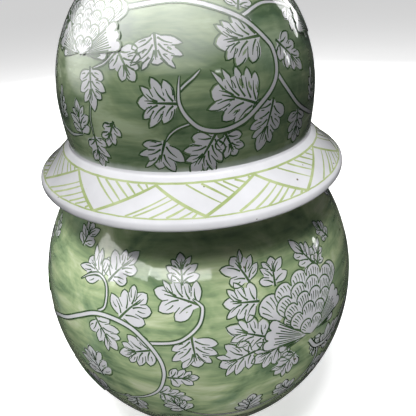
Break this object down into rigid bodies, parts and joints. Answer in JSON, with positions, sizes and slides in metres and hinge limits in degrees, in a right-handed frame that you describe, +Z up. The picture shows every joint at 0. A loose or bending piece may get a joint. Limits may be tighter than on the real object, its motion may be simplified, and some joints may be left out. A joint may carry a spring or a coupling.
{
  "type": "covered ginger jar",
  "caption": "Covered ginger jar: near-spherical porcelain jar with a short neck, and a bell-domed lid with a wide sloping brim and a bud finial.",
  "frame": {"origin": "centre of the plane that the foot ring rests on", "axes": "+Z up, along the axis that the jar and its lid are turned about; +X to the right and -Y to the front of the painted face"},
  "size_m": [0.238, 0.238, 0.3729],
  "materials": {
    "green_glaze": "watery hand-brushed green under a clear gloss glaze",
    "white_glaze": "cool white porcelain under a clear gloss glaze",
    "bare_biscuit": "unglazed fired clay, matt"
  },
  "bodies": {
    "jar": {"foot_ring": "bare_biscuit", "jar_lower_body": "green_glaze", "jar_upper_body": "green_glaze", "jar_neck": "white_glaze"},
    "lid": {"lid_collar": "bare_biscuit", "lid_brim": "white_glaze", "lid_dome": "green_glaze", "lid_finial": "white_glaze"}
  },
  "joints": [
    {"name": "lid_lift", "type": "slide", "parent": "jar", "child": "lid", "axis": [0, 0, 1], "range_m": [0, 0.16]}
  ]
}
